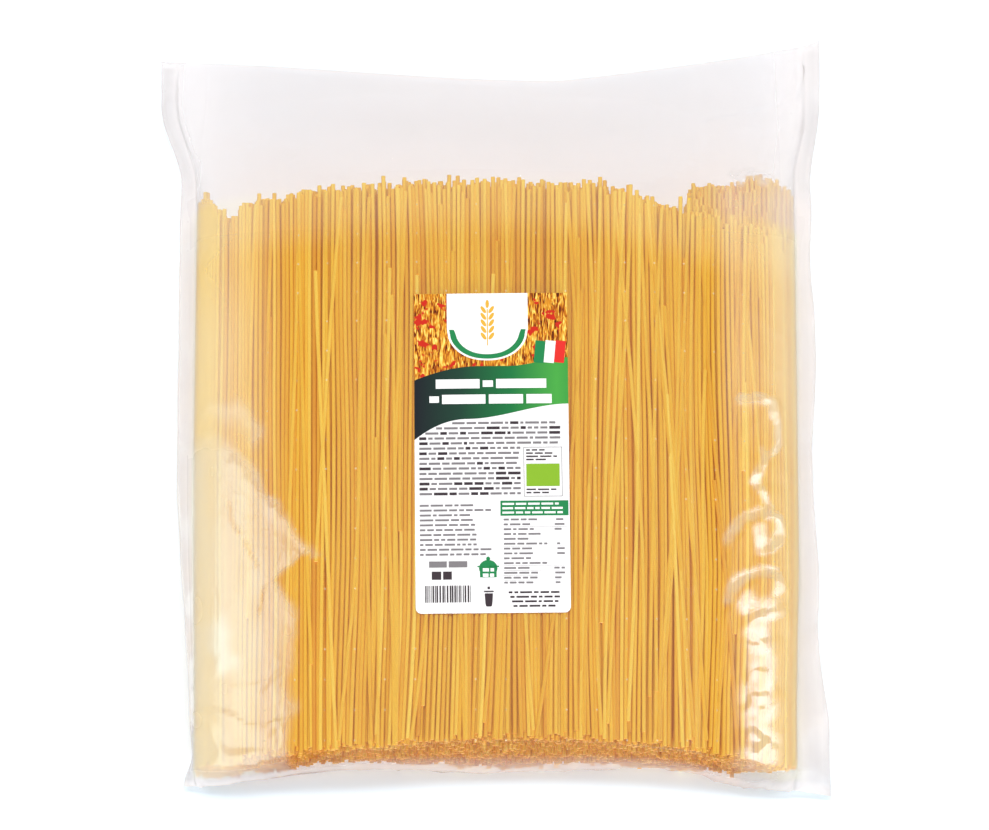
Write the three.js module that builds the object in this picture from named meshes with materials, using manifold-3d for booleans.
// A five kilogram catering bag of spaghetti, lying on its back with its label up.
// The clear film is shut round the pasta, so film and pasta are one solid: a pillow with the strands that
// press into the film as ridges, an empty head that falls away to the top seal, a short foot, a fin of film
// along each side and flat ears at the corners. The paper label is a thin curved plate on top.
// Millimetres. X runs across the bag, Y towards its head, Z up. The origin is under the middle of the bag.
import * as THREE from "three";
import { mergeVertices } from "three/addons/utils/BufferGeometryUtils.js";
import Module from "manifold-3d";

// The film's outline, seen from above
const LEFT_SIDE = 144.4; // from the middle to the fold of the film, along the pasta
const RIGHT_SIDE = 148.8;
const HEAD_FLARE = 11.6; // the empty head spreads wider than the sides
const HEAD_FLARE_RIGHT = 6.2;
const SIDE_FIN = 8; // the empty fold of film outside the pasta, along each side
const SIDE_WAVE = 1.2; // of the right side, out and in
const FOOT_TUCK_LEFT = 7.5;
const FOOT_EAR_LEFT = 4;
const FOOT_EAR_RIGHT = 7.2;
const HEAD_SAG = 157.3; // the lowest point of the head's edge
const HEAD_RISE_LEFT = 9.5;
const HEAD_RISE_RIGHT = 20.7;
const FOOT_REACH = 165.3;
const FOOT_DROP_LEFT = 6.7;
const FOOT_DROP_RIGHT = 11.7;

// The pasta inside
const STRAND = 1.9; // diameter of one strand
const STRAND_PITCH = 2; // from one strand to the next
const BUNDLE_THICK = 72; // from the table to the highest strand
const END_THINNING = 5; // the bundle is that much thinner at its ends
const FRONT_HEAD = 98; // where the upper strands end, towards the head
const FRONT_FOOT = -153.5; // and towards the foot
const RIDGED_HALF = 130; // the film touches the strands this far out from the middle
const BARE_EDGE = 6; // outside that, the film comes back up to its own height this fast
const RIDGE_DEPTH = 0.8; // from the top of a strand to the valley beside it
const END_SCATTER = 3.4; // how unevenly the strands end
const CORE_DEPTH = 2 * STRAND; // from the film down to the solid core that carries the strands

// Heights of the film
const FOLD_HEIGHT = 26; // of the fold along each side
const HEAD_SEAL_HEIGHT = 7;
const FOOT_SEAL_HEIGHT = 8;
const FLAP_THICK = 1.4; // the two layers at an edge, with the air between them
const FLAT_HALF_WIDTH = 100; // the underside lies flat on the table this far out
const CROWN_POWER = 2.6; // 2 is an ellipse, and more is boxier
const HEAD_FALL_POWER = 1.3;

// The label
const LABEL_WIDTH = 68.8;
const LABEL_LENGTH = 143.8;
const LABEL_X = 0.4;
const LABEL_Y = -26.3;
const LABEL_TURN = THREE.MathUtils.degToRad(0.55);
const LABEL_THICK = 0.5;
const LABEL_CLEAR = 0.3; // air between the label and the highest ridge under it
const LABEL_CORNER = 2.6;

// Facets
const BAG_COLUMNS = 30;
const FOOT_ROWS = [0, 0.1, 0.3, 0.6]; // shares of the way from the film's foot to the strands
const STRAND_ROWS = [0, 0.03, 0.1, 0.25, 0.45, 0.65, 0.85, 0.95, 1]; // along the strands
const HEAD_ROWS = [0.08, 0.2, 0.35, 0.5, 0.65, 0.78, 0.88, 0.95, 1]; // and on to the film's head
const BLANKET_ROWS = 5;
const LABEL_CORNER_STEPS = 3;
const LABEL_COLUMNS = 10;
const LABEL_ROWS = 6;

const PASTA_COLOUR = 0xe5ac4f;
const PAPER_COLOUR = 0xf4f2f0;

const mix = (a, b, share) => a + (b - a) * share;

// 0 at from, 1 at to and a smooth S between, whichever of the two is larger.
function ease(from, to, value) {
  const share = THREE.MathUtils.clamp((value - from) / (to - from), 0, 1);
  return share * share * (3 - 2 * share);
}

// A repeatable stream of numbers from 0 to 1.
function seededDraws(seed) {
  let state = seed;
  return () => {
    state = (state * 1664525 + 1013904223) % 4294967296;
    return state / 4294967296;
  };
}

function leftEdge(y) {
  return -(
    LEFT_SIDE +
    HEAD_FLARE * ease(104, 148, y) -
    FOOT_TUCK_LEFT * ease(-20, -156, y) +
    FOOT_EAR_LEFT * ease(-158, -172, y)
  );
}

function rightEdge(y) {
  return (
    RIGHT_SIDE +
    HEAD_FLARE_RIGHT * ease(104, 148, y) +
    FOOT_EAR_RIGHT * ease(-95, -174, y) +
    SIDE_WAVE * Math.sin(y / 17) * ease(95, 60, y) * ease(-120, -90, y)
  );
}

function headEdge(x) {
  const left = HEAD_RISE_LEFT * ease(30, -150, x);
  const right = HEAD_RISE_RIGHT * Math.max(0, (x - 28) / 128) ** 1.15;
  return HEAD_SAG + left + right;
}

function footEdge(x) {
  const left = FOOT_DROP_LEFT * ease(-55, -141, x);
  const right = FOOT_DROP_RIGHT * Math.max(0, (x - 70) / 86) ** 1.2;
  return -(FOOT_REACH + left + right + 0.9 * Math.cos(x / 24));
}

// Where the upper strands end. They slump at the bag's right shoulder and arch up at its foot.
function frontHead(x) {
  return FRONT_HEAD - 10 * (x / 137) ** 2 - 10 * ease(40, 105, x);
}

function frontFoot(x) {
  const out = THREE.MathUtils.clamp((x - 15) / 118, -1, 1);
  return FRONT_FOOT - 12.5 * out ** 2;
}

// How far a point is along the empty head, 0 at the strands and 1 at the seal, and the same for the foot.
const alongHead = (x, y) => THREE.MathUtils.clamp((y - frontHead(x)) / (headEdge(x) - frontHead(x)), 0, 1);
const alongFoot = (x, y) => THREE.MathUtils.clamp((frontFoot(x) - y) / (frontFoot(x) - footEdge(x)), 0, 1);

// The height at which the upper and lower film meet: the side fold, and lower at the seals.
function seamHeight(x, y) {
  const head = mix(FOLD_HEIGHT, HEAD_SEAL_HEIGHT, ease(85, 150, y));
  const ear = 4 * ease(110, 156, x) * ease(130, 170, y);
  return mix(head + ear, FOOT_SEAL_HEIGHT, ease(-140, -166, y));
}

// How far a point is from the middle of the pasta, as a share of the way to its side, and over 1 in a fin.
function outward(x, y) {
  const middle = (leftEdge(y) + rightEdge(y)) / 2;
  const half = (rightEdge(y) - leftEdge(y)) / 2 - SIDE_FIN;
  return Math.abs(x - middle) / half;
}

// The top of the packed strands, as if they had no end.
function packTop(x, y) {
  const thick = BUNDLE_THICK - END_THINNING * Math.min(1, ((y + 30) / 125) ** 2);
  const crown = (1 - Math.min(1, outward(x, y)) ** CROWN_POWER) ** (1 / CROWN_POWER);
  return mix(FOLD_HEIGHT, thick, crown);
}

function filmTop(x, y) {
  const seam = seamHeight(x, y);
  const fall = (1 - alongHead(x, y)) ** HEAD_FALL_POWER * (1 - alongFoot(x, y));
  const inFin = ease(1, 1 + SIDE_FIN / LEFT_SIDE, outward(x, y));
  return seam + Math.max(FLAP_THICK / 2, (packTop(x, y) - seam) * fall * (1 - inFin));
}

function filmUnder(x, y) {
  const seam = seamHeight(x, y);
  const flat = FLAT_HALF_WIDTH / LEFT_SIDE;
  const past = Math.max(0, outward(x, y) - flat) / (1 - flat);
  const across = Math.sqrt(1 - Math.min(1, past) ** 2);
  const along = (1 - alongHead(x, y) ** 3) * (1 - alongFoot(x, y) ** 2);
  return seam - Math.max(FLAP_THICK / 2, seam * across * along);
}

const wasm = await Module();
wasm.setup();

// A solid of closed triangles, given as points and index triples.
function solidOf(points, triangles) {
  const geometry = new THREE.BufferGeometry().setFromPoints(points).setIndex(triangles.flat());
  const merged = mergeVertices(geometry, 1e-4);
  return new wasm.Manifold(
    new wasm.Mesh({
      numProp: 3,
      vertProperties: merged.attributes.position.array,
      triVerts: new Uint32Array(merged.index.array),
    }),
  );
}

// A mesh to show and store, from a solid.
function meshOf(name, solid, material) {
  const { vertProperties, triVerts } = solid.getMesh();
  const geometry = new THREE.BufferGeometry()
    .setAttribute("position", new THREE.BufferAttribute(new Float32Array(vertProperties), 3))
    .setIndex(new THREE.BufferAttribute(new Uint32Array(triVerts), 1));
  geometry.computeVertexNormals();
  const mesh = new THREE.Mesh(geometry, material);
  mesh.name = name;
  return mesh;
}

// A closed solid between two grids of points with the same columns and rows, and a wall round their rims.
function closedSheet(columns, rows, upper, lower) {
  const points = [];
  const triangles = [];
  const count = columns * rows;
  for (const sheet of [upper, lower])
    for (let row = 0; row < rows; row++)
      for (let column = 0; column < columns; column++) points.push(sheet(column, row));
  const at = (column, row) => row * columns + column;
  for (let row = 0; row + 1 < rows; row++)
    for (let column = 0; column + 1 < columns; column++) {
      const [a, b] = [at(column, row), at(column + 1, row)];
      const [c, d] = [at(column + 1, row + 1), at(column, row + 1)];
      triangles.push([a, b, c], [a, c, d]);
      triangles.push([a + count, c + count, b + count], [a + count, d + count, c + count]);
    }
  const rim = [];
  for (let column = 0; column + 1 < columns; column++) rim.push(at(column, 0));
  for (let row = 0; row + 1 < rows; row++) rim.push(at(columns - 1, row));
  for (let column = columns - 1; column > 0; column--) rim.push(at(column, rows - 1));
  for (let row = rows - 1; row > 0; row--) rim.push(at(0, row));
  rim.forEach((a, i) => {
    const b = rim[(i + 1) % rim.length];
    triangles.push([a, a + count, b + count], [a, b + count, b]);
  });
  return solidOf(points, triangles);
}

// The film's outer form. Columns close up towards the side fins, and one row lies along each end of the
// strands. The outermost column on each side is the fin's edge.
function filmEnvelope() {
  const rows = [
    ...FOOT_ROWS.map((share) => ({ from: footEdge, to: frontFoot, share })),
    ...STRAND_ROWS.map((share) => ({ from: frontFoot, to: frontHead, share })),
    ...HEAD_ROWS.map((share) => ({ from: frontHead, to: headEdge, share })),
  ];
  const coreTop = (x, y) => {
    const ridged = ease(RIDGED_HALF + BARE_EDGE, RIDGED_HALF, Math.abs(x)) * ease(0.4, 0, alongHead(x, y));
    const sunk = CORE_DEPTH * ridged * (1 - alongFoot(x, y));
    return Math.max(filmTop(x, y) - sunk, seamHeight(x, y) + FLAP_THICK / 2);
  };
  const place = (column, row, height) => {
    const { from, to, share } = rows[row];
    const inFin = column === 0 || column === BAG_COLUMNS - 1;
    const across = inFin ? Math.sign(column - 1) : -Math.cos((Math.PI * (column - 1)) / (BAG_COLUMNS - 3));
    const fin = inFin ? SIDE_FIN : -SIDE_FIN;
    const nominal = across * (LEFT_SIDE + fin);
    const y = mix(from(nominal), to(nominal), share);
    const middle = (leftEdge(y) + rightEdge(y)) / 2;
    const half = (rightEdge(y) - leftEdge(y)) / 2;
    const x = middle + across * (inFin ? half : half - SIDE_FIN);
    return new THREE.Vector3(x, y, height(x, y));
  };
  return closedSheet(
    BAG_COLUMNS,
    rows.length,
    (column, row) => place(column, row, coreTop),
    (column, row) => place(column, row, filmUnder),
  );
}

// The film's slope across the bag.
const acrossSlope = (x, y) => filmTop(x + 0.5, y) - filmTop(x - 0.5, y);

// The strands that press into the film, side by side, as one ridged blanket whose foot stays inside the core.
// Each strand has its own ends, and the valleys between two strands end with the shorter one.
function strandBlanket() {
  const draw = seededDraws(71);
  const around = (size) => (draw() - 0.5) * 2 * size;
  const strands = [];
  let x = -RIDGED_HALF;
  while (x < RIDGED_HALF) {
    strands.push({
      x,
      foot: frontFoot(x) + 1 + Math.abs(around(END_SCATTER)),
      head: frontHead(x) - 1 - Math.abs(around(END_SCATTER)),
        lift: around(0.15),
      bend: around(0.35),
    });
    x += STRAND_PITCH / Math.hypot(1, acrossSlope(x, LABEL_Y));
  }
  const columns = [{ ...strands[0], x: strands[0].x - STRAND / 2, lift: -RIDGE_DEPTH }];
  strands.forEach((strand, i) => {
    const next = strands[i + 1] ?? { ...strand, x: strand.x + STRAND };
    columns.push(strand, {
      x: (strand.x + next.x) / 2,
      foot: Math.max(strand.foot, next.foot),
      head: Math.min(strand.head, next.head),
      lift: -RIDGE_DEPTH,
      bend: (strand.bend + next.bend) / 2,
    });
  });
  const place = (column, row, height) => {
    const strand = columns[column];
    const share = row / BLANKET_ROWS;
    const y = mix(strand.foot, strand.head, share);
    const x = strand.x + strand.bend * Math.sin(Math.PI * share);
    const steep = Math.hypot(1, acrossSlope(x, y));
    const rise = height(strand);
    return new THREE.Vector3(x - (rise * acrossSlope(x, y)) / steep, y, filmTop(x, y) + rise / steep);
  };
  return closedSheet(
    columns.length,
    BLANKET_ROWS + 1,
    (column, row) => place(column, row, (strand) => strand.lift),
    (column, row) => place(column, row, () => -2 * CORE_DEPTH),
  );
}

// The label follows the crown, with rounded corners: its columns are shorter near its sides.
function paperLabel() {
  const half = LABEL_WIDTH / 2;
  const columns = [];
  for (let step = 0; step < LABEL_CORNER_STEPS; step++) {
    const angle = (Math.PI / 2) * (step / LABEL_CORNER_STEPS);
    const x = -half + LABEL_CORNER * (1 - Math.cos(angle));
    columns.push({ x, cut: LABEL_CORNER * (1 - Math.sin(angle)) });
  }
  for (let column = 0; column <= LABEL_COLUMNS; column++) {
    columns.push({ x: mix(-half + LABEL_CORNER, half - LABEL_CORNER, column / LABEL_COLUMNS), cut: 0 });
  }
  for (let step = LABEL_CORNER_STEPS - 1; step >= 0; step--) {
    columns.push({ x: -columns[step].x, cut: columns[step].cut });
  }
  const place = (column, row, height) => {
    const { x, cut } = columns[column];
    const reach = LABEL_LENGTH / 2 - cut;
    const flat = new THREE.Vector2(x, mix(-reach, reach, row / LABEL_ROWS));
    flat.rotateAround(new THREE.Vector2(0, 0), LABEL_TURN).add(new THREE.Vector2(LABEL_X, LABEL_Y));
    return new THREE.Vector3(flat.x, flat.y, filmTop(flat.x, flat.y) + height);
  };
  return closedSheet(
    columns.length,
    LABEL_ROWS + 1,
    (column, row) => place(column, row, LABEL_CLEAR + LABEL_THICK),
    (column, row) => place(column, row, LABEL_CLEAR),
  );
}

const packet = new THREE.Group();
const filmAndPasta = new THREE.MeshStandardMaterial({ color: PASTA_COLOUR, roughness: 0.35, metalness: 0 });
const paper = new THREE.MeshStandardMaterial({ color: PAPER_COLOUR, roughness: 0.5, metalness: 0 });
packet.add(meshOf("bag", filmEnvelope().add(strandBlanket()), filmAndPasta));
packet.add(meshOf("label", paperLabel(), paper));

export default packet;
